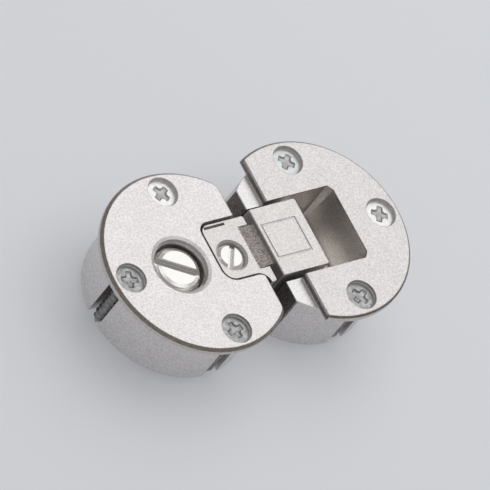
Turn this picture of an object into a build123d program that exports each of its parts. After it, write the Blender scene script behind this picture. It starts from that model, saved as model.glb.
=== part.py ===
from build123d import *
import math
import os

# A flap hinge for a drop-down or lift-up flap, let flush into two 35 mm drillings.
# The base cup goes in the fixed panel and the flap cup in the flap. An arm joins them:
# its flat plate lies in a notch of the base cup and its head block turns on a pin in a
# pocket of the flap cup. A slide under the plate sets the gap between the two panels and
# is held by the large slotted screw. The arm tilts on a small pin in that slide, and the
# small slotted screw sets its height. Six countersunk wood screws hold the two cups.
#
# All sizes are in millimetres. The hinge lies open and flat. While a piece is made, X runs
# from the base cup's axis towards the flap, Y runs along the pivot pin and Z = 0 is the
# surface of the panels, so that a drilling's depth is -Z. At the end every piece moves to
# the part's own frame: X = 0 midway between the cup axes, Z = 0 at the wood screws' tips.

# Both cups
cup_spacing = 30.3         # between the two cup axes, with the flap open
flange_r = 20.0            # round flange that covers the edge of the drilling
flange_t = 1.5
body_r = 17.5              # body that fills the 35 mm drilling
body_depth = 13.0          # drilling depth below the panel's surface

# Base cup
base_front = 13.85         # cup axis to the flat front, in line with the panel's edge
base_rim = 0.6             # bevel of the flange's upper edge
base_corner_r = 3.0        # plan rounding where the flat front meets the round flange
notch_depth = 9.45         # notch for the arm's plate, from the flat front
notch_far_y = 7.3          # notch's side walls from the middle plane, on the +Y side
notch_near_y = 6.1         # and on the -Y side
notch_far_r = 2.2          # plan corner of the notch on the +Y side
notch_near_r = 3.0         # plan corner of the notch on the -Y side
notch_mouth_r = 2.0        # rounded mouth corner on the -Y side
web_t = 1.4                # flange left standing between the notch and the screw's well

# Flap cup
flap_front = 12.05         # cup axis to the flat front of the body
flap_chord = 8.15          # cup axis to the straight edge of the flange
flap_rim = 0.35
pocket_draft = 1.8         # degrees, slope of the pocket's end wall
pocket_cut_x = 1.0         # the two cut corners of the pocket's far end, along X
pocket_cut_y = 1.2         # and along Y
pocket_floor_r = 2.0       # rounding between the end wall and the floor

# Arm
plate_gap = 0.5            # clearance of the plate's sides in the notch
plate_end_gap = 0.65       # and of its inner end
plate_drop = 0.35          # plate's top below the flange's top
plate_t = 3.35
ear_reach = 1.75           # how far the plate's two ears stand out of the base cup
ear_r = 0.5                # plan corners of the ears
neck_w = 9.6
neck_taper = 0.8           # how much the neck narrows towards the block, on the -Y side
neck_inset = 2.45          # where the sloping neck starts, back from the ears' ends
neck_slope = 9.5           # degrees
neck_fillet = 0.5          # rounding where the neck meets the head block
neck_depth = 4.0           # underside of the neck below the panel's surface
block_w = 15.0             # head block
block_len = 11.28
block_lead = 0.85          # how far the head block stands out of the flap cup's front
block_corner_r = 0.5
block_edge_r = 0.35        # rounding of the head block's top edge over the neck
field_len = 8.5            # bare framed field on the head block
field_w = 7.7
field_inset = 0.75         # field's distance from the block's end nearest the base
field_line = 0.3           # width of the engraved line round the field
field_line_depth = 0.15
slit_len = 5.0             # slit along the plate's edge on the +Y side
slit_w = 0.5
slit_depth = 1.3
slit_side = 0.65           # slit's middle from the plate's edge
slit_inset = 0.7           # slit's start from the plate's inner end

# Pivot between the arm and the flap cup
pivot_drop = 8.8           # pin's axis below the panel's surface
pivot_inset = 1.68         # pin's axis from the head block's free end
pivot_pin_d = 3.0
pivot_pin_len = 30.0
boss_wall = 1.1            # arm's wall round the pin's bore
boss_clear = 0.3           # arm's boss above the pocket's floor
swing_clear = 0.55         # head block's corner to the end wall, at the pin's height
side_gap = 0.85            # head block to each side wall of the pocket
washer_play = 0.1          # side play left by each pivot washer
washer_rim = 0.25          # how far a pivot washer stays inside the boss's edge

# Slide, clamp screw and its washer
slide_travel = 2.5         # the panel gap can be opened by this much
slide_t = 3.4
slide_side_clear = 0.3
slide_z_clear = 0.05
slide_end_wall = 1.2       # slide's wall behind the clamp screw's slot
slide_nose = 1.45          # slide's front end, back from the cup's flat front
roof_depth = 2.6           # underside of the roof over the slide, below the panel's surface
well_d = 10.9              # well that the clamp screw's head sits in
well_bevel = ((0.35, 0.6), (1.0, 0.9))  # bevel of its mouth in two steps: outward and up
clamp_head_d = 9.9
clamp_head_t = 2.5
clamp_crown = ((0.55, 0.45), (1.25, 0.75))  # head's bevel in two steps: inward and up
clamp_thread_d = 5.0
clamp_tip_wall = 1.7       # metal of the cup left below the clamp screw's end
clamp_hole_wall = 1.0      # and below its hole
clamp_slot_w = 1.7
clamp_slot_depth = 1.2
clamp_slot_turn = -33.0    # degrees about Z
clamp_washer_t = 0.55
clamp_washer_d = 10.3
clamp_play = 0.2           # clamp screw's play in the slide's slot, on the radius

# Tilt pin and height screw
tilt_pin_d = 2.0
tilt_pin_end = 0.9         # tilt pin's axis from the notch's inner wall
tilt_lug_wall = 0.6
tilt_lug_w = 7.8
lug_clear = 0.2            # lug's room below and beside it in the slide's window
window_clear = 0.3         # and ahead of and behind it
height_screw_x = 5.05      # height screw's axis, back from the cup's flat front
height_screw_y = -0.6      # and from the middle plane
height_thread_d = 6.0
height_mouth = 0.4         # chamfer at the mouth of its hole
height_drop = 0.35         # screw's top below the plate's top
height_crown = 0.75        # bevel round the screw's flat top, on the radius
height_crown_drop = 0.4
height_slot_w = 1.1
height_slot_depth = 0.9
height_slot_turn = 57.0
height_neck_d = 1.8
height_foot_d = 3.2
height_foot_t = 0.9
height_foot_clear = 0.3    # room over and round the foot in its T-slot
foot_roof_t = 1.2          # lip of the slide that holds the foot down

# Wood screws
wood_d = 3.0
wood_len = 16.0
wood_head_d = 6.0
wood_point_len = 2.6
wood_turns = (30.0, 72.0, 12.0, 46.0, 58.0, 27.0)  # how far each cross was turned home
sink_d = 6.45              # sunk hole in the flange
head_drop = 0.7            # screw head's top below the flange's top
wood_hole_d = 3.8
cross_len = 3.4
cross_w = 0.75
cross_depth = 1.5
screw_inset = 4.3          # screws' centres from the flange's edge
base_pair_x = 1.0          # how far the base cup's side pair lies towards the flap
flap_pair_x = 1.6          # how far the flap cup's side pair lies away from the base

# Relief in the undersides, which keeps the castings' walls even
relief_w = 3.6
relief_roof = 2.5          # metal left between a relief and the flange
relief_wall = 2.4
base_relief_len = 15.0
flap_relief_len = 7.2

over = 1.0                 # how far a cutter passes the metal that it cuts

# Running and seating fits
run_fit = 0.05             # radial clearance of a pin or thread that turns
seat_fit = 0.03            # gap between a screw head's cone and its seat
pin_seat = 0.02            # radial clearance of a pin that is driven home

# Places worked out from the sizes above
flange_top = flange_t
flap_x = cup_spacing
flap_front_x = flap_x - flap_front
flap_chord_x = flap_x - flap_chord
notch_x = base_front - notch_depth
plate_top = flange_top - plate_drop
plate_bottom = plate_top - plate_t
ear_x = base_front + ear_reach
neck_x = ear_x - neck_inset
block_x = flap_front_x - block_lead
block_end_x = block_x + block_len
pivot_x = block_end_x - pivot_inset
boss_r = pivot_pin_d / 2 + boss_wall
pocket_floor = -(pivot_drop + boss_r + boss_clear)
pocket_w = block_w + 2 * side_gap
corner_reach = math.hypot(pivot_inset, pivot_drop + flange_t)
wall_at_pivot = pivot_x + corner_reach + swing_clear
wall_slope = math.tan(math.radians(pocket_draft))
wall_at_rim = wall_at_pivot + (pivot_drop + flange_t) * wall_slope
wall_at_floor = wall_at_pivot + (pocket_floor + pivot_drop) * wall_slope

well_mouth_r = well_d / 2 + well_bevel[1][0]
clamp_x = notch_x - web_t - well_mouth_r
clamp_tip = body_depth - clamp_tip_wall
slide_top = -roof_depth - slide_z_clear
slide_bottom = slide_top - slide_t
tunnel_floor = slide_bottom - slide_z_clear
slide_front_x = base_front - slide_nose
slide_w = 2 * (notch_near_y - slide_side_clear)
slot_r = clamp_thread_d / 2 + clamp_play
slot_back_x = clamp_x - slide_travel - clamp_play
slide_back_x = slot_back_x - slot_r - slide_end_wall
clamp_washer_z = slide_top
clamp_seat = clamp_washer_z + clamp_washer_t
clamp_top = clamp_seat + clamp_head_t

tilt_x = notch_x + tilt_pin_end
lug_r = tilt_pin_d / 2 + tilt_lug_wall
tilt_z = slide_bottom + lug_r + lug_clear
window_reach = lug_r + window_clear
height_x = base_front - height_screw_x
height_top = plate_top - height_drop
foot_top = slide_top - foot_roof_t - height_foot_clear
foot_bottom = foot_top - height_foot_t

screw_ring_r = flange_r - screw_inset
head_top = flange_top - head_drop
sink_z = head_top - seat_fit * math.sqrt(2) + (sink_d - wood_head_d) / 2
tip_z = head_top - wood_len


def block(x0, x1, y0, y1, z0, z1):
    """Upright box between two corners."""
    size = (x1 - x0, y1 - y0, z1 - z0)
    middle = ((x0 + x1) / 2, (y0 + y1) / 2, (z0 + z1) / 2)
    return Pos(*middle) * Box(*size)


def post(x, y, r, z0, z1):
    """Upright round post or drill."""
    return Pos(x, y, (z0 + z1) / 2) * Cylinder(r, z1 - z0)


def cross_rod(x, z, r, half):
    """Round rod along Y, centred on the middle plane."""
    return Pos(x, 0, z) * Rot(90, 0, 0) * Cylinder(r, 2 * half)


def turned(points):
    """Solid turned about Z from an outline of (radius, height) points."""
    return revolve(make_face(Plane.XZ * Polyline(*points, close=True)), Axis.Z)


def side_plate(points, half):
    """Plate with an outline of (x, z) points, as thick as twice half along Y."""
    return extrude(make_face(Plane.XZ * Polyline(*points, close=True)), half, both=True)


def rounded(plan, corners):
    """Plan face with the vertices nearest to each (x, y, radius) rounded."""
    for x, y, r in corners:
        if r > 0:
            vertex = plan.vertices().sort_by_distance((x, y, 0))[0]
            plan = fillet(vertex, r)
    return plan


def rect_plan(x0, x1, y0, y1):
    return Pos((x0 + x1) / 2, (y0 + y1) / 2) * Rectangle(x1 - x0, y1 - y0)


def notch_plan(gap, end_gap, mouth_x):
    """Plan of the notch, or of the plate that lies in it with gaps at its sides and its inner end."""
    x0 = notch_x + end_gap
    y0 = gap - notch_near_y
    y1 = notch_far_y - gap
    plan = rect_plan(x0, mouth_x, y0, y1)
    return rounded(plan, [(x0, y1, notch_far_r - gap), (x0, y0, notch_near_r - gap)])


def mouth_plan(gap, mouth_x):
    """Plan of what widens the notch's mouth, or the plate's ear in it, on the -Y side."""
    corner_x = base_front - notch_mouth_r
    corner_y = -notch_near_y - notch_mouth_r
    flare = rect_plan(corner_x, mouth_x, corner_y, gap - notch_near_y)
    return flare - Pos(corner_x, corner_y) * Circle(notch_mouth_r + gap)


def cut_circle(x, r, front_x, side):
    """Plan of a circle at x, cut off by a straight front; side is +1 where metal lies past it."""
    keep_x = front_x + side * 2 * r
    return (Pos(x, 0) * Circle(r)) & rect_plan(min(front_x, keep_x), max(front_x, keep_x), -2 * r, 2 * r)


def lift(plan, z0, z1):
    """Plan face made into a solid from z0 up to z1."""
    return extrude(Pos(0, 0, z0) * plan, z1 - z0)


def bevel_top(flange, size):
    """Takes the sharp upper edge off a flange."""
    rim = flange.faces().sort_by(Axis.Z)[-1].outer_wire().edges()
    return chamfer(rim, size)


def screw_places():
    """Centres of the six wood screws, base cup first."""
    side = math.sqrt(screw_ring_r ** 2 - base_pair_x ** 2)
    base = [(base_pair_x, side), (-screw_ring_r, 0), (base_pair_x, -side)]
    side = math.sqrt(screw_ring_r ** 2 - flap_pair_x ** 2)
    flap = [(flap_x + flap_pair_x, side), (flap_x + screw_ring_r, 0), (flap_x + flap_pair_x, -side)]
    return base, flap


def screw_holes(cup, cup_x, places):
    """Sunk holes through the flange, each running on as a channel in the body's side."""
    cone = sink_d / 2 - wood_hole_d / 2
    for x, y in places:
        sink = turned([(0, flange_top + over), (sink_d / 2, flange_top + over),
                       (sink_d / 2, sink_z), (wood_hole_d / 2, sink_z - cone),
                       (wood_hole_d / 2, -body_depth - over), (0, -body_depth - over)])
        away = math.degrees(math.atan2(y, x - cup_x))
        channel = block(0, body_r, -wood_hole_d / 2, wood_hole_d / 2, -body_depth - over, 0)
        cup -= Pos(x, y, 0) * (sink + Rot(0, 0, away) * channel)
    return cup


def relief(x, y, length):
    """Round-ended hollow in a casting's underside."""
    return lift(Pos(x, y) * SlotOverall(length, relief_w), -body_depth - over, -relief_roof)


def base_cup():
    plan = cut_circle(0, flange_r, base_front, -1)
    corner_y = math.sqrt(flange_r ** 2 - base_front ** 2)
    plan = rounded(plan, [(base_front, corner_y, base_corner_r), (base_front, -corner_y, base_corner_r)])
    flange = bevel_top(lift(plan, 0, flange_top), base_rim)
    body = lift(cut_circle(0, body_r, base_front, -1), -body_depth, 0)
    cup = flange + body
    mouth_x = base_front + over
    cup -= lift(notch_plan(0, 0, mouth_x) + mouth_plan(0, mouth_x), -roof_depth, flange_top + over)
    cup -= block(slide_back_x - slide_side_clear, mouth_x, -notch_near_y, notch_near_y,
                 tunnel_floor, -roof_depth)
    cup -= post(clamp_x, 0, well_d / 2, tunnel_floor, flange_top + over)
    cup -= Pos(clamp_x, 0, 0) * well_mouth()
    cup -= post(clamp_x, 0, clamp_thread_d / 2 + run_fit, -body_depth + clamp_hole_wall, tunnel_floor + over)
    relief_y = notch_near_y + relief_wall + relief_w / 2
    for y in (relief_y, -relief_y):
        cup -= relief(clamp_x, y, base_relief_len)
    return screw_holes(cup, 0, screw_places()[0])


def well_mouth():
    """What is cut away to bevel the mouth of the clamp screw's well."""
    (step, rise), (reach, height) = well_bevel
    r = well_d / 2
    return turned([(0, flange_top - height), (r, flange_top - height), (r + step, flange_top - height + rise),
                   (r + reach, flange_top), (r + reach, flange_top + over), (0, flange_top + over)])


def flap_cup():
    flange = lift(cut_circle(flap_x, flange_r, flap_chord_x, 1), 0, flange_top)
    flange = bevel_top(flange, flap_rim)
    body = lift(cut_circle(flap_x, body_r, flap_front_x, 1), -body_depth, 0)
    cup = (flange + body) - pocket()
    bore = pivot_pin_d / 2 + pin_seat
    cup -= cross_rod(pivot_x, -pivot_drop, bore, pivot_pin_len / 2 + pin_seat)
    mouth = Pos(pivot_x, body_r / 2, -pivot_drop) * Rot(90, 0, 0) * Cylinder(bore, body_r + over)
    cup -= mouth
    relief_y = pocket_w / 2 + relief_wall + relief_w / 2
    relief_x = pivot_x + boss_r + relief_wall + flap_relief_len / 2
    for y in (relief_y, -relief_y):
        cup -= relief(relief_x, y, flap_relief_len)
    return screw_holes(cup, flap_x, screw_places()[1])


def pocket():
    """Room for the head block: open at the front and the top, with a sloping end wall."""
    rim_x = wall_at_rim + over * wall_slope
    front_x = flap_front_x - over
    outline = make_face(Polyline((front_x, pocket_floor), (wall_at_floor, pocket_floor),
                                 (rim_x, flange_top + over), (front_x, flange_top + over), close=True))
    outline = rounded(outline, [(wall_at_floor, pocket_floor, pocket_floor_r)])
    room = extrude(Plane.XZ * outline, pocket_w / 2, both=True)
    half = pocket_w / 2
    plan = make_face(Polyline((front_x, -half), (wall_at_rim - pocket_cut_x, -half),
                              (wall_at_rim, -half + pocket_cut_y), (wall_at_rim, half - pocket_cut_y),
                              (wall_at_rim - pocket_cut_x, half), (front_x, half), close=True))
    return room & lift(plan, pocket_floor - over, flange_top + over)


def hinge_arm():
    plan = notch_plan(plate_gap, plate_end_gap, ear_x) + mouth_plan(plate_gap, ear_x)
    ear_low = -notch_near_y - notch_mouth_r
    plan = rounded(plan, [(ear_x, notch_far_y - plate_gap, ear_r), (ear_x, ear_low, ear_r)])
    arm = lift(plan, plate_bottom, plate_top) - neck_room() + neck() + head_block() + lug()
    arm -= cross_rod(tilt_x, tilt_z, tilt_pin_d / 2 + run_fit, slide_w)
    r = height_thread_d / 2 + run_fit
    hole = turned([(0, plate_top + over), (r + height_mouth + over, plate_top + over),
                   (r, plate_top - height_mouth), (r, plate_bottom - over), (0, plate_bottom - over)])
    arm -= Pos(height_x, height_screw_y, 0) * hole
    slit_y = notch_far_y - plate_gap - slit_side
    slit_x = notch_x + plate_end_gap + slit_inset
    arm -= block(slit_x, slit_x + slit_len, slit_y - slit_w / 2, slit_y + slit_w / 2,
                 plate_top - slit_depth, plate_top + over)
    return arm


def neck_room():
    """Room over the neck in the plate's end, open down to the -Y side of the neck."""
    half = neck_w / 2
    plan = rect_plan(neck_x, ear_x + over, -half, half)
    return lift(plan, plate_bottom - over, plate_top + over)


def neck():
    """Sloping neck between the plate and the head block."""
    drop = (block_x - neck_x) * math.tan(math.radians(neck_slope))
    inside = block_x + over
    outline = make_face(Polyline((neck_x, plate_top), (block_x, plate_top - drop), (block_x, plate_top),
                                 (inside, plate_top), (inside, -neck_depth), (base_front, -neck_depth),
                                 (neck_x, plate_bottom), close=True))
    outline = rounded(outline, [(block_x, plate_top - drop, neck_fillet)])
    half = neck_w / 2
    plan = make_face(Polyline((neck_x, -half), (neck_x, half), (inside, half), (inside, neck_taper - half),
                              close=True))
    return extrude(Plane.XZ * outline, neck_w, both=True) & lift(plan, -neck_depth - over, flange_top)


def head_block():
    """Head of the arm: flat top, boss round the pivot pin and a straight underside to the neck."""
    back_x = block_x - pivot_x
    back_z = pivot_drop - neck_depth
    reach = math.hypot(back_x, back_z)
    slope = math.atan2(-back_z, -back_x) - math.asin(boss_r / reach)
    run = math.sqrt(reach ** 2 - boss_r ** 2)
    touch = (block_x + run * math.cos(slope), -neck_depth + run * math.sin(slope))
    outline = [(block_x, flange_top), (block_end_x, flange_top), (block_end_x, -pivot_drop),
               (pivot_x, -pivot_drop), touch, (block_x, -neck_depth)]
    head = side_plate(outline, block_w / 2) + cross_rod(pivot_x, -pivot_drop, boss_r, block_w / 2)
    head -= cross_rod(pivot_x, -pivot_drop, pivot_pin_d / 2 + run_fit, block_w)
    corners = head.edges().filter_by(Axis.Z).sort_by(Axis.X)[-2:]
    head = fillet(corners, block_corner_r)
    back_edge = head.faces().sort_by(Axis.Z)[-1].edges().sort_by(Axis.X)[0]
    head = fillet(back_edge, block_edge_r)
    field_x = block_x + field_inset
    field = rect_plan(field_x, field_x + field_len, -field_w / 2, field_w / 2)
    inner = rect_plan(field_x + field_line, field_x + field_len - field_line,
                      -field_w / 2 + field_line, field_w / 2 - field_line)
    return head - lift(field - inner, flange_top - field_line_depth, flange_top + over)


def lug():
    """Lug under the plate that hangs on the tilt pin."""
    eye = cross_rod(tilt_x, tilt_z, lug_r, tilt_lug_w / 2)
    stem = block(notch_x + plate_end_gap, tilt_x + lug_r, -tilt_lug_w / 2, tilt_lug_w / 2,
                 tilt_z, plate_bottom)
    return eye + stem


def gap_slide():
    slide = block(slide_back_x, slide_front_x, -slide_w / 2, slide_w / 2, slide_bottom, slide_top)
    slide = fillet(slide.edges().filter_by(Axis.Z).sort_by(Axis.X)[:2], slide_end_wall)
    slot = rect_plan(slot_back_x, clamp_x + clamp_play, -slot_r, slot_r)
    slot += Pos(slot_back_x, 0) * Circle(slot_r)
    slot += Pos(clamp_x + clamp_play, 0) * Circle(slot_r)
    slide -= lift(slot, slide_bottom - over, slide_top + over)
    window_half = tilt_lug_w / 2 + lug_clear
    slide -= block(tilt_x - window_reach, tilt_x + window_reach, -window_half, window_half,
                   slide_bottom - over, slide_top + over)
    slide -= cross_rod(tilt_x, tilt_z, tilt_pin_d / 2 + pin_seat, slide_w)
    neck_r = height_neck_d / 2 + height_foot_clear
    foot_r = height_foot_d / 2 + height_foot_clear
    foot_roof = foot_top + height_foot_clear
    for r, z1 in ((neck_r, slide_top + over), (foot_r, foot_roof)):
        slide -= block(height_x, slide_front_x + over, height_screw_y - r, height_screw_y + r,
                       slide_bottom - over, z1)
        slide -= post(height_x, height_screw_y, r, slide_bottom - over, z1)
    return slide


def screw_slot(width, depth, top, turn):
    """Straight driver slot across a screw's head."""
    return Rot(0, 0, turn) * block(-flange_r, flange_r, -width / 2, width / 2, top - depth, top + over)


def clamp_screw():
    head_r = clamp_head_d / 2
    thread_r = clamp_thread_d / 2
    (step, rise), (reach, height) = clamp_crown
    screw = turned([(0, clamp_top), (head_r - reach, clamp_top), (head_r - step, clamp_top - height + rise),
                    (head_r, clamp_top - height), (head_r, clamp_seat), (thread_r, clamp_seat),
                    (thread_r, -clamp_tip), (0, -clamp_tip)])
    screw -= screw_slot(clamp_slot_w, clamp_slot_depth, clamp_top, clamp_slot_turn)
    return Pos(clamp_x, 0, 0) * screw


def clamp_washer():
    inner = clamp_thread_d / 2 + run_fit
    ring = post(clamp_x, 0, clamp_washer_d / 2, clamp_washer_z, clamp_seat)
    return ring - post(clamp_x, 0, inner, clamp_washer_z - over, clamp_seat + over)


def height_screw():
    thread_r = height_thread_d / 2
    neck_r = height_neck_d / 2
    foot_r = height_foot_d / 2
    screw = turned([(0, height_top), (thread_r - height_crown, height_top),
                    (thread_r, height_top - height_crown_drop), (thread_r, plate_bottom),
                    (neck_r, plate_bottom), (neck_r, foot_top), (foot_r, foot_top), (foot_r, foot_bottom),
                    (0, foot_bottom)])
    screw -= screw_slot(height_slot_w, height_slot_depth, height_top, height_slot_turn)
    return Pos(height_x, height_screw_y, 0) * screw


def tilt_pin():
    return cross_rod(tilt_x, tilt_z, tilt_pin_d / 2, slide_w / 2)


def pivot_pin():
    return cross_rod(pivot_x, -pivot_drop, pivot_pin_d / 2, pivot_pin_len / 2)


def pivot_washer(side):
    """Thin washer beside the head block; side is +1 or -1 along Y."""
    thick = side_gap - washer_play
    r = boss_r - washer_rim
    ring = Cylinder(r, thick) - Cylinder(pivot_pin_d / 2 + run_fit, thick + over)
    return Pos(pivot_x, side * (block_w + thick) / 2, -pivot_drop) * Rot(90, 0, 0) * ring


def wood_screw(x, y, turn):
    head_r = wood_head_d / 2
    r = wood_d / 2
    screw = turned([(0, head_top), (head_r, head_top), (r, head_top - (head_r - r)),
                    (r, tip_z + wood_point_len), (0, tip_z)])
    top = head_top + over
    bottom = head_top - cross_depth
    arm = side_plate([(-cross_len / 2, top), (-cross_len / 2, head_top), (-cross_w / 2, bottom),
                      (cross_w / 2, bottom), (cross_len / 2, head_top), (cross_len / 2, top)], cross_w / 2)
    screw -= arm + Rot(0, 0, 90) * arm
    return Pos(x, y, 0) * Rot(0, 0, turn) * screw


def all_parts():
    base, flap = screw_places()
    parts = {
        "base_cup": base_cup(), "flap_cup": flap_cup(), "hinge_arm": hinge_arm(), "gap_slide": gap_slide(),
        "clamp_screw": clamp_screw(), "clamp_washer": clamp_washer(), "tilt_pin": tilt_pin(),
        "height_screw": height_screw(), "pivot_pin": pivot_pin(),
        "pivot_washer_left": pivot_washer(1), "pivot_washer_right": pivot_washer(-1),
    }
    names = [f"base_wood_screw_{n}" for n in (1, 2, 3)] + [f"flap_wood_screw_{n}" for n in (1, 2, 3)]
    for name, (x, y), turn in zip(names, base + flap, wood_turns):
        parts[name] = wood_screw(x, y, turn)
    return parts


os.makedirs("parts", exist_ok=True)
home = Pos(-cup_spacing / 2, 0, -tip_z)
for name, solid in all_parts().items():
    export_step(home * solid, f"parts/{name}.step")
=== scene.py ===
import math

import bmesh
import bpy
from mathutils import Matrix, Vector


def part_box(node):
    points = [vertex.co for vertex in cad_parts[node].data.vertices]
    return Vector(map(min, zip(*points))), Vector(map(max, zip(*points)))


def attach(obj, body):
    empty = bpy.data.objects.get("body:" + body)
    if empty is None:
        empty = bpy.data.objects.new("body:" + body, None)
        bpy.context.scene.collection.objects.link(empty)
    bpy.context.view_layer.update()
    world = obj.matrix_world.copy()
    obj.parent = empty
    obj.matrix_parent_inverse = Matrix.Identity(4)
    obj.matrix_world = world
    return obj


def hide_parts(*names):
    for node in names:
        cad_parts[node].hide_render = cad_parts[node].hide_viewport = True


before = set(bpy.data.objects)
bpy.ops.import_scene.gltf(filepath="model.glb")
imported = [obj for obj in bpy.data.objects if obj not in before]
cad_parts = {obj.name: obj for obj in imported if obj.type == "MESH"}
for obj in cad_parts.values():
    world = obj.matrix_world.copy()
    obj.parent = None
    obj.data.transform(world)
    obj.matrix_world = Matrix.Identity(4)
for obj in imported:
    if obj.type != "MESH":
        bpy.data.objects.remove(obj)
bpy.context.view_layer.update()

# A flap hinge for a flap let flush into a cabinet: two nickel plated zinc castings joined by a
# cast arm, with two slotted adjusting screws and six cross recessed wood screws. The castings,
# the adjusting screws and the inner pieces are the CAD nodes with their finishes; zones of the
# castings have painted light and shade in their tone. The wood screws are made again here with a
# recess and a thread; the recess of the paler ones is painted darker, as painted shade. Lengths are
# in metres in Blender and in millimetres in the named values below, which mm() turns into metres.

# The view: the hinge lies flat and is seen from above its near side, with the camera rolled.
VIEW_YAW = -62.2           # degrees
VIEW_ELEVATION = 48.1
VIEW_ROLL = 40.0
VIEW_WIDTH = 94.4          # millimetres across the picture
VIEW_DISTANCE = 2000.0
SENSOR_WIDTH = 36.0
AIM = (-2.7, 0.6, 16.7)    # point in the middle of the picture, on the flanges' upper side

# The floor
FLOOR_TONE = "#D5D7DB"
FLOOR_REACH = 3000.0       # from its middle to each side
FLOOR_LIFT = 0.32          # share of the floor's paleness that doesn't come from the lamps

# The light; directions are seen from the hinge
BRIGHT_SIDE = (0.6, 0.31, 0.74)  # where the room is brightest
BRIGHT_SPREAD = (0.40, 0.95)     # cosines to that side where the rise to it starts and ends
ROOM_STRENGTH = (0.33, 0.48)     # away from that side and towards it
WALL_RISE = (0.1, 0.4)           # sines of the elevation between which the wall passes into the ceiling
WALL_SHARE = 0.4                 # brightness of the wall's foot, against the ceiling's
LAMP_SIDE = (0.42, 0.22, 0.88)
LAMP_DISTANCE = 500.0
LAMP_SIZE = 680.0
LAMP_POWER = 1.13                # watts

# Zones of the castings that are finished otherwise, with a tone painted lighter or darker as painted
# light and shade, as (axis, lowest, highest); where the axis is a point (x, y), the distance from the
# upright line through it counts
CUP_AXIS_X = 15.15
BASE_AXIS = (-CUP_AXIS_X, 0.0)
FLAP_AXIS = (CUP_AXIS_X, 0.0)
PANEL_LEVEL = 15.2
FLANGE_TOP = 16.7
BASE_BEVEL = 0.6           # height of the bevel on the flange's upper edge
FLAP_BEVEL = 0.35
RIM_INSIDE = 19.8          # limits of the rim's distance from the cup's axis
RIM_OUTSIDE = 21.0
ZONE_BLUR = 0.08           # half the width over which one finish passes into the other
HINGE_REACH = 50.0         # further than any point of the hinge
# Rims: the wall is painted a brownish tone and the bevel a darker brown line, as painted shade
BASE_RIM_PAINTED_SHADE = [(BASE_AXIS, RIM_INSIDE, RIM_OUTSIDE), ("Z", PANEL_LEVEL - 0.2, FLANGE_TOP - BASE_BEVEL)]
BASE_BEVEL_PAINTED_SHADE = [(BASE_AXIS, 19.37, RIM_OUTSIDE), ("Z", FLANGE_TOP - BASE_BEVEL, FLANGE_TOP + 0.2)]
FLAP_RIM_PAINTED_SHADE = [(FLAP_AXIS, RIM_INSIDE, RIM_OUTSIDE), ("Z", PANEL_LEVEL - 0.2, FLANGE_TOP - FLAP_BEVEL)]
FLAP_BEVEL_PAINTED_SHADE = [(FLAP_AXIS, 19.54, RIM_OUTSIDE), ("Z", FLANGE_TOP - FLAP_BEVEL, FLANGE_TOP + 0.2)]
# Cup fronts below the panel: painted darker grey, as painted shade
CUP_FRONTS_PAINTED_SHADE = [("X", -2.0, 3.4), ("Z", -HINGE_REACH, PANEL_LEVEL - 0.3)]
# The base's notch: painted darker grey, as painted shade in the recess
BASE_NOTCH_PAINTED_SHADE = [("X", -11.0, -2.0), ("Y", -8.3, 7.5), ("Z", -HINGE_REACH, FLANGE_TOP - 0.25)]
# The flap's pocket: painted paler, as painted light
FLAP_POCKET_PAINTED_LIGHT = [("X", 3.4, 24.0), ("Y", -8.6, 8.6), ("Z", -HINGE_REACH, FLANGE_TOP - 0.4)]
# A narrow band on the flap flange's chord face: painted dark, as painted shade
FLAP_EDGE_PAINTED_SHADE = [("X", 6.85, 7.15), ("Z", PANEL_LEVEL + 0.1, FLANGE_TOP - 0.3)]
# The flap's shelves: painted paler, as painted light
FLAP_SHELVES_PAINTED_LIGHT = [("X", 0.0, 8.0), ("Z", PANEL_LEVEL - 0.2, PANEL_LEVEL + 0.2)]
# The arm's neck: painted darker grey, as the block's painted shade
ARM_NECK_PAINTED_SHADE = [("X", -1.95, 2.2), ("Y", -4.85, 4.8), ("Z", -HINGE_REACH, 16.4)]
# The plate's sides in the notch's gap: painted darker grey, as painted shade between parts
PLATE_SIDES_PAINTED_SHADE = [("X", -11.0, -1.95), ("Z", -HINGE_REACH, 16.1)]
# The head block's end: painted paler, as painted light that the pocket's wall reflects
HEAD_END_PAINTED_LIGHT = [("X", 13.4, 14.0), ("Z", -HINGE_REACH, 16.5)]

# Finishes of the CAD nodes; the pins, washers and slide are plain drawn steel
NODE_FINISH = {"base_cup": "base_casting", "flap_cup": "flap_casting", "hinge_arm": "arm_casting",
               "clamp_screw": "bright_nickel", "height_screw": "bright_nickel"}

# Wood screws: first the base cup's, then the flap cup's
SCREWS_PER_CUP = 3
SCREW_TURNS = (30.0, 72.0, 12.0, 46.0, 58.0, 27.0)  # how far each is turned, in degrees
SCREW_FINISHES = ("pale_zinc", "grey_zinc", "grey_zinc", "cool_zinc", "pale_zinc", "grey_zinc")
# The pale and cool screws' recesses take a darker zinc than their heads: painted shade in the recess
RECESS_FINISHES = ("recess_shade_zinc", "grey_zinc", "grey_zinc",
                   "recess_shade_zinc", "recess_shade_zinc", "grey_zinc")
HEAD_RIM_ROUND = 0.12      # size of the rounding at the head's upper edge
ROUND_MIDDLE = 0.3         # share of that size at which the rounding's middle lies
HEAD_NECK = 0.35           # height of the narrowing between the head's cone and the core
NECK_SPARE = 0.1           # how much wider than the core that narrowing ends
SHARP_ANGLE = 40.0         # edges steeper than this are shaded sharp, in degrees
SHANK_RADIUS = 1.5
CORE_RADIUS = 1.0
POINT_LENGTH = 2.6
THREAD_PITCH = 1.35
THREAD_START = 1.1         # plain shank left under the head's cone
THREAD_STEPS = 12          # rings of the mesh in one turn of the thread
RIDGE_HALF_WIDTH = 0.22    # of the thread's ridge at its foot, as a share of the pitch
SCREW_SIDES = 48
RECESS_SIDES = 144
RECESS_REACH = 1.75        # from the middle to the end of an arm of the cross
RECESS_HALF_WIDTH = 0.52
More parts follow.
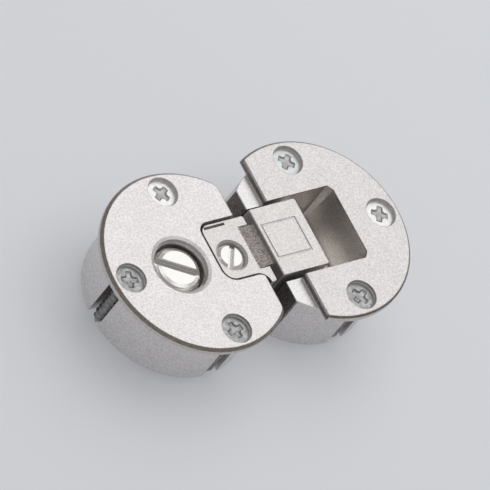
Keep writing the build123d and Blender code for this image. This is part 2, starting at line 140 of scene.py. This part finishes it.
RECESS_MIDDLE = 1.05       # radius of the round middle of the cross
RECESS_DEPTH = 0.30        # shallower than the CAD's, so that light reaches its floor
RECESS_TIP = 0.1           # how much deeper the middle of the recess is
RECESS_EDGE = 0.14         # rounded edge that the plating leaves
RECESS_STEPS = 5           # rings of the mesh below that edge
RECESS_DRAFT = (0.35, 0.08, 0.2)  # what reach, half width and middle lose down to its floor

# Places of the sockets of a colour mix node, whose names stand for several types of value
COLOUR_A, COLOUR_B = 6, 7
MIXED_COLOUR = 2


def mm(length):
    return length / 1000.0


def linear(hex_colour):
    """sRGB hex colour as the linear colour that a shader takes."""
    channels = [int(hex_colour[i:i + 2], 16) / 255 for i in (1, 3, 5)]
    return [c / 12.92 if c <= 0.04045 else ((c + 0.055) / 1.055) ** 2.4 for c in channels] + [1.0]


def add_node(tree, kind, settings=None, sockets=None):
    """Adds a node with its settings; a socket gets a value, or another node's output as a link."""
    made = tree.nodes.new(kind)
    for name, value in (settings or {}).items():
        setattr(made, name, value)
    for name, value in (sockets or {}).items():
        if isinstance(value, bpy.types.NodeSocket):
            tree.links.new(value, made.inputs[name])
        else:
            made.inputs[name].default_value = value
    return made


def new_finish(name):
    """Empty material with its node tree and its output node."""
    finish = bpy.data.materials.new(name)
    finish.use_nodes = True
    finish.node_tree.nodes.clear()
    output = add_node(finish.node_tree, "ShaderNodeOutputMaterial")
    return finish, finish.node_tree, output


def zone(tree, place, limits):
    """Mask that is 1 inside all the limits and 0 outside. Each is (axis, lowest, highest), in
    millimetres."""
    parts = add_node(tree, "ShaderNodeSeparateXYZ", None, {"Vector": place})
    mask = None
    for axis, low, high in limits:
        if isinstance(axis, str):
            measured = parts.outputs[axis]
        else:
            plan = add_node(tree, "ShaderNodeVectorMath", {"operation": "MULTIPLY"},
                            {0: place, 1: (1.0, 1.0, 0.0)})
            centre = (mm(axis[0]), mm(axis[1]), 0.0)
            measured = add_node(tree, "ShaderNodeVectorMath", {"operation": "DISTANCE"},
                                {0: plan.outputs["Vector"], 1: centre}).outputs["Value"]
        for edge, side in ((low, 1), (high, -1)):
            step = add_node(tree, "ShaderNodeMapRange", None,
                            {"Value": measured, "From Min": mm(edge - side * ZONE_BLUR),
                             "From Max": mm(edge + side * ZONE_BLUR)})
            if mask is None:
                mask = step.outputs["Result"]
            else:
                mask = add_node(tree, "ShaderNodeMath", {"operation": "MULTIPLY"},
                                {0: mask, 1: step.outputs["Result"]}).outputs["Value"]
    return mask


def cast_nickel(name, dark_tone, pale_tone, zones):
    """Zinc die casting, tumbled and satin nickel plated: a warm pale metal with a fine mottled grain,
    which blurs what it reflects, and edges that the tumbling has rounded. Zones of it carry
    painted light and shade in their tone: the cup fronts, the notch, the flap's edge, the arm's neck
    and the plate's sides are painted darker grey as painted shade, some also rougher and partly no
    metal; the pocket, the flap's shelves and the head's end are painted paler as painted light, the
    pocket and the head's end also smoother; the rim's wall is painted a brownish tone and its bevel a
    darker brown line, as painted shade. Each such zone has its limits, dark tone, pale tone, share of
    metal and added roughness. The real grain is near 0.1 mm and is drawn coarser, so that it shows."""
    grain_size, mottle_size, cloud_size, pit_size = mm(0.25), mm(0.4), mm(4.0), mm(0.9)
    finish, tree, output = new_finish(name)
    place = add_node(tree, "ShaderNodeTexCoord").outputs["Object"]
    grain = add_node(tree, "ShaderNodeTexNoise", None,
                     {"Vector": place, "Scale": 1 / grain_size, "Detail": 2.0, "Roughness": 0.6})
    mottle = add_node(tree, "ShaderNodeTexNoise", None,
                      {"Vector": place, "Scale": 1 / mottle_size, "Detail": 2.0, "Roughness": 0.7})
    cloud = add_node(tree, "ShaderNodeTexNoise", None,
                     {"Vector": place, "Scale": 1 / cloud_size, "Detail": 2.0, "Roughness": 0.5})
    pits = add_node(tree, "ShaderNodeTexVoronoi", {"feature": "SMOOTH_F1"},
                    {"Vector": place, "Scale": 1 / pit_size, "Smoothness": 0.6})
    soft_edge = add_node(tree, "ShaderNodeBevel", {"samples": 6}, {"Radius": mm(0.18)})
    wavy = add_node(tree, "ShaderNodeBump", None,
                    {"Strength": 0.25, "Distance": mm(0.02), "Height": pits.outputs["Distance"],
                     "Normal": soft_edge.outputs["Normal"]})
    grained = add_node(tree, "ShaderNodeBump", None,
                       {"Strength": 0.45, "Distance": mm(0.03), "Height": grain.outputs["Fac"],
                        "Normal": wavy.outputs["Normal"]})
    blotch = add_node(tree, "ShaderNodeMapRange", None,
                      {"Value": mottle.outputs["Fac"], "From Min": 0.34, "From Max": 0.66})
    tone = add_node(tree, "ShaderNodeMix", {"data_type": "RGBA"},
                    {"Factor": blotch.outputs["Result"],
                     COLOUR_A: linear(dark_tone), COLOUR_B: linear(pale_tone)})
    shaded = add_node(tree, "ShaderNodeMix", {"data_type": "RGBA", "blend_type": "MULTIPLY"},
                      {"Factor": cloud.outputs["Fac"],
                       COLOUR_A: tone.outputs[MIXED_COLOUR], COLOUR_B: linear("#F6F5F4")})
    blur = add_node(tree, "ShaderNodeMapRange", None,
                    {"Value": grain.outputs["Fac"], "From Min": 0.3, "From Max": 0.7,
                     "To Min": 0.38, "To Max": 0.50})
    colour, roughness, metal = shaded.outputs[MIXED_COLOUR], blur.outputs["Result"], 1.0
    # each zone's tone is painted light or shade, mixed in over the casting's own tone
    for limits, dark_painted_tone, pale_painted_tone, metal_share, added_blur in zones:
        inside = zone(tree, place, limits)
        painted_tone = add_node(tree, "ShaderNodeMix", {"data_type": "RGBA"},
                        {"Factor": blotch.outputs["Result"],
                         COLOUR_A: linear(dark_painted_tone), COLOUR_B: linear(pale_painted_tone)})
        mixed = add_node(tree, "ShaderNodeMix", {"data_type": "RGBA"},
                         {"Factor": inside, COLOUR_A: colour, COLOUR_B: painted_tone.outputs[MIXED_COLOUR]})
        colour = mixed.outputs[MIXED_COLOUR]
        if added_blur:
            roughness = add_node(tree, "ShaderNodeMath", {"operation": "MULTIPLY_ADD"},
                                 {0: inside, 1: added_blur, 2: roughness}).outputs["Value"]
        if metal_share < 1.0:
            metal = add_node(tree, "ShaderNodeMath", {"operation": "MULTIPLY_ADD"},
                             {0: inside, 1: metal_share - 1.0, 2: metal}).outputs["Value"]
    surface = add_node(tree, "ShaderNodeBsdfPrincipled", None,
                       {"Base Color": colour, "Metallic": metal,
                        "Roughness": roughness, "Normal": grained.outputs["Normal"]})
    tree.links.new(surface.outputs["BSDF"], output.inputs["Surface"])
    return finish


def bright_nickel():
    """Turned steel screw, bright nickel plated: it mirrors the room, softened by a faint ripple that
    turning leaves and by scratches from the driver. The real ones are hair-fine and are drawn
    coarser, so that they show."""
    ripple_width, scratch_width, scratch_length = mm(0.35), mm(0.15), mm(3.0)
    finish, tree, output = new_finish("bright_nickel_steel")
    place = add_node(tree, "ShaderNodeTexCoord").outputs["Object"]
    ripple = add_node(tree, "ShaderNodeTexNoise", None,
                      {"Vector": place, "Scale": 1 / ripple_width, "Detail": 1.0, "Roughness": 0.4})
    stretched = add_node(tree, "ShaderNodeMapping", None,
                         {"Vector": place, "Rotation": (0.0, 0.0, math.radians(35)),
                          "Scale": (1 / scratch_length, 1 / scratch_width, 1 / scratch_length)})
    scratches = add_node(tree, "ShaderNodeTexNoise", None,
                         {"Vector": stretched.outputs["Vector"], "Scale": 1.0, "Detail": 2.0})
    soft_edge = add_node(tree, "ShaderNodeBevel", {"samples": 6}, {"Radius": mm(0.12)})
    bumped = add_node(tree, "ShaderNodeBump", None,
                      {"Strength": 0.12, "Distance": mm(0.01), "Height": ripple.outputs["Fac"],
                       "Normal": soft_edge.outputs["Normal"]})
    blur = add_node(tree, "ShaderNodeMapRange", None,
                    {"Value": scratches.outputs["Fac"], "From Min": 0.35, "From Max": 0.7,
                     "To Min": 0.12, "To Max": 0.24})
    surface = add_node(tree, "ShaderNodeBsdfPrincipled", None,
                       {"Base Color": linear("#E5E3E0"), "Metallic": 1.0,
                        "Roughness": blur.outputs["Result"], "Normal": bumped.outputs["Normal"]})
    tree.links.new(surface.outputs["BSDF"], output.inputs["Surface"])
    return finish


def zinc_plate(name, dark_tone, pale_tone, sharpest, bluntest):
    """Hardened steel wood screw, zinc plated and passivated: a cool metal with cloudy patches, some
    of them dulled by white rust, and small dents left by tumbling in the plating barrel. The last
    two values are the roughness of its brightest and of its dullest patches."""
    patch_size, dent_size = mm(0.9), mm(0.5)
    finish, tree, output = new_finish(name)
    place = add_node(tree, "ShaderNodeTexCoord").outputs["Object"]
    patches = add_node(tree, "ShaderNodeTexNoise", None,
                       {"Vector": place, "Scale": 1 / patch_size, "Detail": 3.0, "Roughness": 0.55})
    dents = add_node(tree, "ShaderNodeTexNoise", None,
                     {"Vector": place, "Scale": 1 / dent_size, "Detail": 2.0, "Roughness": 0.5})
    tone = add_node(tree, "ShaderNodeMix", {"data_type": "RGBA"},
                    {"Factor": patches.outputs["Fac"],
                     COLOUR_A: linear(dark_tone), COLOUR_B: linear(pale_tone)})
    blur = add_node(tree, "ShaderNodeMapRange", None,
                    {"Value": patches.outputs["Fac"], "From Min": 0.3, "From Max": 0.7,
                     "To Min": bluntest, "To Max": sharpest})
    dented = add_node(tree, "ShaderNodeBump", None,
                      {"Strength": 0.35, "Distance": mm(0.03), "Height": dents.outputs["Fac"]})
    surface = add_node(tree, "ShaderNodeBsdfPrincipled", None,
                       {"Base Color": tone.outputs[MIXED_COLOUR], "Metallic": 1.0,
                        "Roughness": blur.outputs["Result"], "Normal": dented.outputs["Normal"]})
    tree.links.new(surface.outputs["BSDF"], output.inputs["Surface"])
    return finish


def drawn_steel():
    """Plain steel for the pins, washers and slide: a grey metal with a grey oil bloom and the fine
    straight lines that drawing and blanking leave, drawn coarser than they are, so that they show."""
    line_width, line_length, bloom_size = mm(0.12), mm(6.0), mm(2.5)
    finish, tree, output = new_finish("plain_drawn_steel")
    place = add_node(tree, "ShaderNodeTexCoord").outputs["Object"]
    stretched = add_node(tree, "ShaderNodeMapping", None,
                         {"Vector": place, "Scale": (1 / line_width, 1 / line_length, 1 / line_width)})
    lines = add_node(tree, "ShaderNodeTexNoise", None,
                     {"Vector": stretched.outputs["Vector"], "Scale": 1.0, "Detail": 2.0})
    bloom = add_node(tree, "ShaderNodeTexNoise", None,
                     {"Vector": place, "Scale": 1 / bloom_size, "Detail": 3.0})
    tone = add_node(tree, "ShaderNodeMix", {"data_type": "RGBA"},
                    {"Factor": bloom.outputs["Fac"],
                     COLOUR_A: linear("#A09D9A"), COLOUR_B: linear("#C4C2BF")})
    soft_edge = add_node(tree, "ShaderNodeBevel", {"samples": 4}, {"Radius": mm(0.1)})
    lined = add_node(tree, "ShaderNodeBump", None,
                     {"Strength": 0.2, "Distance": mm(0.01), "Height": lines.outputs["Fac"],
                      "Normal": soft_edge.outputs["Normal"]})
    surface = add_node(tree, "ShaderNodeBsdfPrincipled", None,
                       {"Base Color": tone.outputs[MIXED_COLOUR], "Metallic": 1.0, "Roughness": 0.36,
                        "Normal": lined.outputs["Normal"]})
    tree.links.new(surface.outputs["BSDF"], output.inputs["Surface"])
    return finish


def recess_radius(angle, reach, half_width, middle):
    """Outline of a cross recess about its middle: four arms with round ends and a round middle."""
    off_arm = abs((angle + math.pi / 4) % (math.pi / 2) - math.pi / 4)
    side = half_width / max(math.sin(off_arm), half_width / reach)
    return max(min(reach, side), middle)


def recess_rings():
    """(height below the head's top, reach, half width, middle) of the recess, from its edge down."""
    edge = RECESS_EDGE
    less_reach, less_width, less_middle = RECESS_DRAFT
    yield 0.0, RECESS_REACH + edge, RECESS_HALF_WIDTH + edge, RECESS_MIDDLE + edge
    yield edge, RECESS_REACH, RECESS_HALF_WIDTH, RECESS_MIDDLE
    for step in range(1, RECESS_STEPS + 1):
        down = step / RECESS_STEPS
        yield (edge + (RECESS_DEPTH - edge) * down, RECESS_REACH - less_reach * down,
               RECESS_HALF_WIDTH - less_width * down, RECESS_MIDDLE - less_middle * down)


def join_rings(mesh, first, second):
    """Quads between two closed rings with the same number of vertices."""
    count = len(first)
    for i in range(count):
        after = (i + 1) % count
        mesh.faces.new((first[i], first[after], second[after], second[i]))


def fan(mesh, ring, tip):
    """Triangles between a closed ring and one vertex."""
    for i in range(len(ring)):
        mesh.faces.new((ring[i], ring[(i + 1) % len(ring)], tip))


def thread_radius(z, angle, start_z, point_z, tip_z):
    """Radius of the threaded shank: a V ridge that winds down it and runs out at both ends."""
    phase = (z / THREAD_PITCH - angle / (2 * math.pi)) % 1.0
    ridge = max(0.0, 1 - abs(phase - 0.5) / RIDGE_HALF_WIDTH)
    fade = min(1.0, max(0.0, (start_z - z) / THREAD_PITCH))
    taper = min(1.0, max(0.0, (z - tip_z) / (point_z - tip_z)))
    return (CORE_RADIUS + (SHANK_RADIUS - CORE_RADIUS) * ridge * fade) * taper


def wood_screw(node_name, body, turn, finish, recess_finish):
    """Countersunk wood screw in place of its CAD node: a cross recess, a flat head and a thread."""
    low, high = (Vector(corner) * 1000 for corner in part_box(node_name))
    head_radius = (high.x - low.x) / 2
    head_top, tip_z = high.z, low.z
    under_head = head_top - (head_radius - SHANK_RADIUS)
    core_top = under_head - HEAD_NECK
    mesh = bmesh.new()

    def ring(count, radius_at, z):
        """Closed ring of vertices whose radius depends on the angle."""
        angles = [2 * math.pi * i / count for i in range(count)]
        return [mesh.verts.new((radius_at(a) * math.cos(a), radius_at(a) * math.sin(a), z))
                for a in angles]

    rounding = ROUND_MIDDLE * HEAD_RIM_ROUND
    rim = [(head_radius - HEAD_RIM_ROUND, 0.0), (head_radius - rounding, rounding),
           (head_radius - rounding, HEAD_RIM_ROUND)]
    rings = [ring(RECESS_SIDES, lambda a, s=sizes: recess_radius(a, *s[1:]), head_top - sizes[0])
             for sizes in reversed(list(recess_rings()))]
    rings += [ring(RECESS_SIDES, lambda a, r=radius: r, head_top - drop) for radius, drop in rim]
    rings.append(ring(RECESS_SIDES, lambda a: SHANK_RADIUS, under_head))
    rings.append(ring(RECESS_SIDES, lambda a: CORE_RADIUS + NECK_SPARE, core_top))
    for upper, lower in zip(rings, rings[1:]):
        join_rings(mesh, upper, lower)
    fan(mesh, rings[0], mesh.verts.new((0, 0, head_top - RECESS_DEPTH - RECESS_TIP)))

    start_z = under_head - THREAD_START
    point_z = tip_z + POINT_LENGTH
    step = THREAD_PITCH / THREAD_STEPS
    heights = [core_top - step * i for i in range(int((core_top - tip_z) / step) + 1)]
    heights = [z for z in heights if z > tip_z + 0.5 * step]
    shank = [ring(SCREW_SIDES, lambda a, h=z: thread_radius(h, a, start_z, point_z, tip_z), z)
             for z in heights]
    for upper, lower in zip(shank, shank[1:]):
        join_rings(mesh, upper, lower)
    fan(mesh, shank[-1], mesh.verts.new((0, 0, tip_z)))
    fan(mesh, shank[0], mesh.verts.new((0, 0, under_head)))
    bmesh.ops.recalc_face_normals(mesh, faces=mesh.faces)
    for face in mesh.faces:
        middle = face.calc_center_median()
        # faces inside the recess take the recess finish, on the paler screws a darker zinc as painted
        # shade
        in_head = RECESS_EDGE / 4 < head_top - middle.z < RECESS_DEPTH + RECESS_TIP
        face.material_index = int(in_head and middle.xy.length < RECESS_REACH)

    data = bpy.data.meshes.new(node_name + "_detailed")
    mesh.to_mesh(data)
    mesh.free()
    middle = (low + high) / 2
    data.transform(Matrix.Translation((mm(middle.x), mm(middle.y), 0))
                   @ Matrix.Rotation(math.radians(turn), 4, "Z") @ Matrix.Scale(mm(1), 4))
    data.shade_smooth()
    data.set_sharp_from_angle(angle=math.radians(SHARP_ANGLE))
    screw = bpy.data.objects.new(node_name + "_detailed", data)
    bpy.context.scene.collection.objects.link(screw)
    screw.data.materials.append(finish)
    screw.data.materials.append(recess_finish)
    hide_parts(node_name)
    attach(screw, body)


def dress_nodes(finishes):
    """Gives each CAD node its finish."""
    for name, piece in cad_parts.items():
        piece.data.materials.clear()
        piece.data.materials.append(finishes[NODE_FINISH.get(name, "drawn_steel")])


def floor():
    """Pale matt floor under the hinge."""
    finish, tree, output = new_finish("pale_matt_floor")
    surface = add_node(tree, "ShaderNodeBsdfPrincipled", None,
                       {"Base Color": linear(FLOOR_TONE), "Roughness": 0.9, "Specular IOR Level": 0.1})
    ray = add_node(tree, "ShaderNodeLightPath")
    seen = add_node(tree, "ShaderNodeMath", {"operation": "MAXIMUM"},
                    {0: ray.outputs["Is Camera Ray"], 1: ray.outputs["Is Glossy Ray"]})
    seen_too = add_node(tree, "ShaderNodeMath", {"operation": "MAXIMUM"},
                        {0: seen.outputs["Value"], 1: ray.outputs["Is Transmission Ray"]})
    lift = add_node(tree, "ShaderNodeMath", {"operation": "MULTIPLY"},
                    {0: seen_too.outputs["Value"], 1: FLOOR_LIFT})
    glow = add_node(tree, "ShaderNodeEmission", None,
                    {"Color": linear(FLOOR_TONE), "Strength": lift.outputs["Value"]})
    both = add_node(tree, "ShaderNodeAddShader", None,
                    {0: surface.outputs["BSDF"], 1: glow.outputs["Emission"]})
    tree.links.new(both.outputs["Shader"], output.inputs["Surface"])
    mesh = bmesh.new()
    bmesh.ops.create_grid(mesh, x_segments=1, y_segments=1, size=mm(FLOOR_REACH))
    data = bpy.data.meshes.new("studio_floor")
    mesh.to_mesh(data)
    mesh.free()
    data.materials.append(finish)
    ground = bpy.data.objects.new("studio_floor", data)
    bpy.context.scene.collection.objects.link(ground)


def soft_box(name, direction, distance, size, power):
    """Square area lamp that looks at the hinge from a direction."""
    data = bpy.data.lights.new(name, "AREA")
    data.shape = "SQUARE"
    data.size = mm(size)
    data.energy = power
    lamp = bpy.data.objects.new(name, data)
    bpy.context.scene.collection.objects.link(lamp)
    away = Vector(direction).normalized()
    lamp.location = Vector([mm(v) for v in AIM]) + away * mm(distance)
    lamp.rotation_euler = away.to_track_quat("Z", "Y").to_euler()


def studio():
    """Soft overhead light in a room that is brighter on the far side, whose mirror image the flat
    tops catch, than behind the camera, which the edges that face it show as thin dark lines."""
    world = bpy.data.worlds.new("studio")
    world.use_nodes = True
    tree = world.node_tree
    tree.nodes.clear()
    way = add_node(tree, "ShaderNodeTexCoord").outputs["Generated"]
    towards = add_node(tree, "ShaderNodeVectorMath", {"operation": "DOT_PRODUCT"},
                       {0: way, 1: BRIGHT_SIDE})
    room = add_node(tree, "ShaderNodeMapRange", None,
                    {"Value": towards.outputs["Value"], "From Min": BRIGHT_SPREAD[0],
                     "From Max": BRIGHT_SPREAD[1], "To Min": ROOM_STRENGTH[0],
                     "To Max": ROOM_STRENGTH[1]})
    height = add_node(tree, "ShaderNodeSeparateXYZ", None, {"Vector": way})
    dim_wall = add_node(tree, "ShaderNodeMapRange", None,
                        {"Value": height.outputs["Z"], "From Min": WALL_RISE[0],
                         "From Max": WALL_RISE[1], "To Min": WALL_SHARE})
    strength = add_node(tree, "ShaderNodeMath", {"operation": "MULTIPLY"},
                        {0: room.outputs["Result"], 1: dim_wall.outputs["Result"]})
    light = add_node(tree, "ShaderNodeBackground", None,
                     {"Color": linear("#FFFFFF"), "Strength": strength.outputs["Value"]})
    output = add_node(tree, "ShaderNodeOutputWorld", None, {"Surface": light.outputs["Background"]})
    bpy.context.scene.world = world
    soft_box("overhead_softbox", LAMP_SIDE, LAMP_DISTANCE, LAMP_SIZE, LAMP_POWER)


def camera():
    """Far camera with a long lens, at the photograph's viewing angle and roll."""
    yaw, rise = math.radians(VIEW_YAW), math.radians(VIEW_ELEVATION)
    forward = Vector((-math.sin(yaw) * math.cos(rise), math.cos(yaw) * math.cos(rise), -math.sin(rise)))
    data = bpy.data.cameras.new("photo_view")
    data.sensor_width = SENSOR_WIDTH
    data.lens = SENSOR_WIDTH * VIEW_DISTANCE / VIEW_WIDTH
    data.clip_end = mm(20 * VIEW_DISTANCE)
    eye = bpy.data.objects.new("photo_view", data)
    bpy.context.scene.collection.objects.link(eye)
    right = Vector((math.cos(yaw), math.sin(yaw), 0))
    up = right.cross(forward)
    roll = math.radians(VIEW_ROLL)
    image_right = right * math.cos(roll) + up * math.sin(roll)
    image_up = up * math.cos(roll) - right * math.sin(roll)
    turned = Matrix((image_right, image_up, -forward)).transposed().to_4x4()
    turned.translation = Vector([mm(v) for v in AIM]) - forward * mm(VIEW_DISTANCE)
    eye.matrix_world = turned
    bpy.context.scene.camera = eye


bpy.context.scene.view_settings.view_transform = "Standard"
finishes = {
    "base_casting": cast_nickel("satin_nickel_base", "#D7D3D2", "#F2EFEF",
                                # rim wall and bevel: painted shade
                                [(BASE_RIM_PAINTED_SHADE, "#CBC6C1", "#E2DDD8", 1.0, 0.05),
                                 (BASE_BEVEL_PAINTED_SHADE, "#968C83", "#BAB2AA", 1.0, 0.0),
                                 # cup fronts: painted shade
                                 (CUP_FRONTS_PAINTED_SHADE, "#7F7774", "#C4BCB9", 1.0, 0.14),
                                 # notch: painted shade
                                 (BASE_NOTCH_PAINTED_SHADE, "#A8A19D", "#CFC9C6", 0.5, 0.14)]),
    "flap_casting": cast_nickel("satin_nickel_flap", "#D0CCCB", "#EBE8E8",
                                # rim wall and bevel: painted shade
                                [(FLAP_RIM_PAINTED_SHADE, "#CBC6C1", "#E2DDD8", 1.0, 0.05),
                                 (FLAP_BEVEL_PAINTED_SHADE, "#877D76", "#A99F98", 1.0, 0.0),
                                 # cup fronts: painted shade
                                 (CUP_FRONTS_PAINTED_SHADE, "#5F5755", "#98908E", 1.0, 0.14),
                                 # pocket: painted light
                                 (FLAP_POCKET_PAINTED_LIGHT, "#E6E1DD", "#F2EEEB", 1.0, -0.15),
                                 # chord face band: painted shade
                                 (FLAP_EDGE_PAINTED_SHADE, "#756D68", "#A79E98", 1.0, 0.14),
                                 # shelves: painted light
                                 (FLAP_SHELVES_PAINTED_LIGHT, "#DCD9D8", "#F5F3F3", 1.0, 0.0)]),
    "arm_casting": cast_nickel("satin_nickel_arm", "#D1CDCC", "#E9E6E5",
                               # neck: painted shade
                               [(ARM_NECK_PAINTED_SHADE, "#7F7774", "#C4BCB9", 1.0, 0.14),
                                # plate sides: painted shade
                                (PLATE_SIDES_PAINTED_SHADE, "#C8C4C1", "#E0DDDB", 0.5, 0.06),
                                # head's end: painted light
                                (HEAD_END_PAINTED_LIGHT, "#E2DEDC", "#F0EDEC", 1.0, -0.18)]),
    "bright_nickel": bright_nickel(),
    "pale_zinc": zinc_plate("pale_zinc_plate", "#DAD9D7", "#F4F3F2", 0.36, 0.46),
    "cool_zinc": zinc_plate("cool_zinc_plate", "#C2C5C6", "#E1E3E3", 0.36, 0.46),
    "grey_zinc": zinc_plate("grey_zinc_plate", "#757577", "#CBCACA", 0.30, 0.50),
    # darker zinc for the recesses of the paler screws: painted shade
    "recess_shade_zinc": zinc_plate("recess_shade_zinc_plate", "#A8A8A7", "#D0D0CF", 0.45, 0.55),
    "drawn_steel": drawn_steel(),
}
dress_nodes(finishes)
for number, turn in enumerate(SCREW_TURNS):
    cup = "base" if number < SCREWS_PER_CUP else "flap"
    wood_screw(f"{cup}_wood_screw_{number % SCREWS_PER_CUP + 1}", cup, turn,
               finishes[SCREW_FINISHES[number]], finishes[RECESS_FINISHES[number]])
floor()
studio()
camera()
